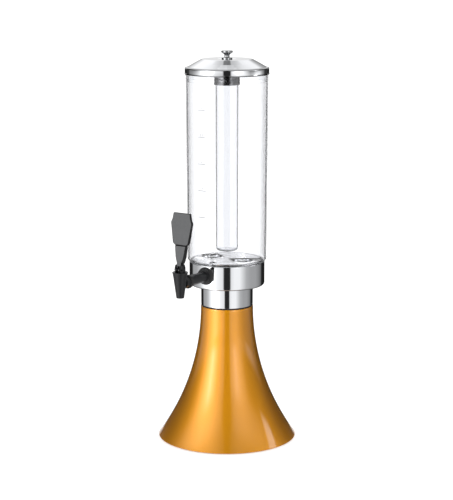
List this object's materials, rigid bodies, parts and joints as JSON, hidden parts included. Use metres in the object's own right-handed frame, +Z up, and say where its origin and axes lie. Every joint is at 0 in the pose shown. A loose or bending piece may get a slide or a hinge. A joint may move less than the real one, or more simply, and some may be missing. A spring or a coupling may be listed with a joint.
{
  "type": "beer tower dispenser",
  "caption": "Tall table drinks tower: a clear tapered tank on a flared stand, with a lever tap, a lift-off lid and an ice tube inside.",
  "frame": {"origin": "centre of the foot ring's flat underside, on the tower's own axis, at table height", "axes": "+Z up along the tower's axis; -Y towards the tap and the person pouring; +X to the right as seen from behind the tap, looking along +Y"},
  "size_m": [0.2172, 0.2465, 0.61],
  "materials": {
    "gold_shell": "spun metal with a glossy gold-orange metallic coat",
    "steel_plate": "rolled steel disc, lightly brushed",
    "black_rubber": "matt black rubber",
    "iron_weight": "raw grey casting",
    "zinc_steel": "bright plated steel",
    "dark_steel": "blackened steel",
    "mirror_chrome": "mirror-bright plating",
    "bright_deck": "polished pressed sheet",
    "clear_rubber": "milky clear silicone",
    "clear_plastic": "clear moulded plastic, polished",
    "grey_print": "thin grey print",
    "black_plastic": "black moulded plastic, satin gloss",
    "seat_silicone": "translucent silicone",
    "grey_plastic": "dark grey moulded plastic, satin",
    "clear_seal": "clear soft seal",
    "black_cap": "black moulded plastic"
  },
  "bodies": {
    "stand_and_tank": {"stand_shell": "gold_shell", "bottom_plate": "steel_plate", "foot_ring": "black_rubber", "cast_weight": "iron_weight", "tie_rod": "zinc_steel", "rod_nuts": "zinc_steel", "rod_washers": "zinc_steel", "neck_gasket": "black_rubber", "neck_ring": "mirror_chrome", "collar": "mirror_chrome", "deck_posts": "zinc_steel", "deck_plate": "bright_deck", "seat_gasket": "clear_rubber", "tank": "clear_plastic", "well_washers": "black_rubber", "tank_screws": "zinc_steel", "volume_scale": "grey_print", "drain_elbow": "black_plastic", "drain_seal": "black_rubber", "shank": "black_plastic", "saddle_washer": "black_rubber", "inner_saddle": "black_plastic", "shank_nut": "black_plastic", "spout_body": "black_plastic", "union_nut": "black_plastic", "bonnet": "black_plastic", "bonnet_seal": "black_rubber", "lever_pin": "dark_steel"},
    "lid": {"lid_shell": "mirror_chrome", "lid_seal": "clear_seal", "lid_knob": "mirror_chrome", "knob_screw": "zinc_steel", "ice_cap": "black_cap", "ice_tube_seal": "clear_rubber"},
    "ice_tube": {"ice_tube": "clear_plastic"},
    "lever": {"lever_arm": "black_plastic", "lever_grip": "grey_plastic", "crank_pin": "dark_steel"},
    "valve": {"valve_stem": "dark_steel", "seat_cup": "seat_silicone", "valve_spring": "zinc_steel"}
  },
  "joints": [
    {"name": "lid_lift", "type": "slide", "parent": "stand_and_tank", "child": "lid", "axis": [0, 0, 1], "range_m": [0, 0.3]},
    {"name": "ice_tube_pull", "type": "slide", "parent": "lid", "child": "ice_tube", "axis": [0, 0, -1], "range_m": [0, 0.012]},
    {"name": "lever_pull", "type": "hinge", "parent": "stand_and_tank", "child": "lever", "pos_m": [0, -0.131, 0.2897], "axis": [1, 0, 0], "range_deg": [0, 35], "stiffness_Nm_per_rad": 0.12, "springref_deg": -17.19},
    {"name": "valve_lift", "type": "slide", "parent": "stand_and_tank", "child": "valve", "axis": [0, 0, 1], "range_m": [0, 0.00294], "deforming": ["valve_spring"]}
  ],
  "couplings": [
    {"joint": "valve_lift", "follows": "lever_pull", "m_per_rad": 0.004776}
  ]
}
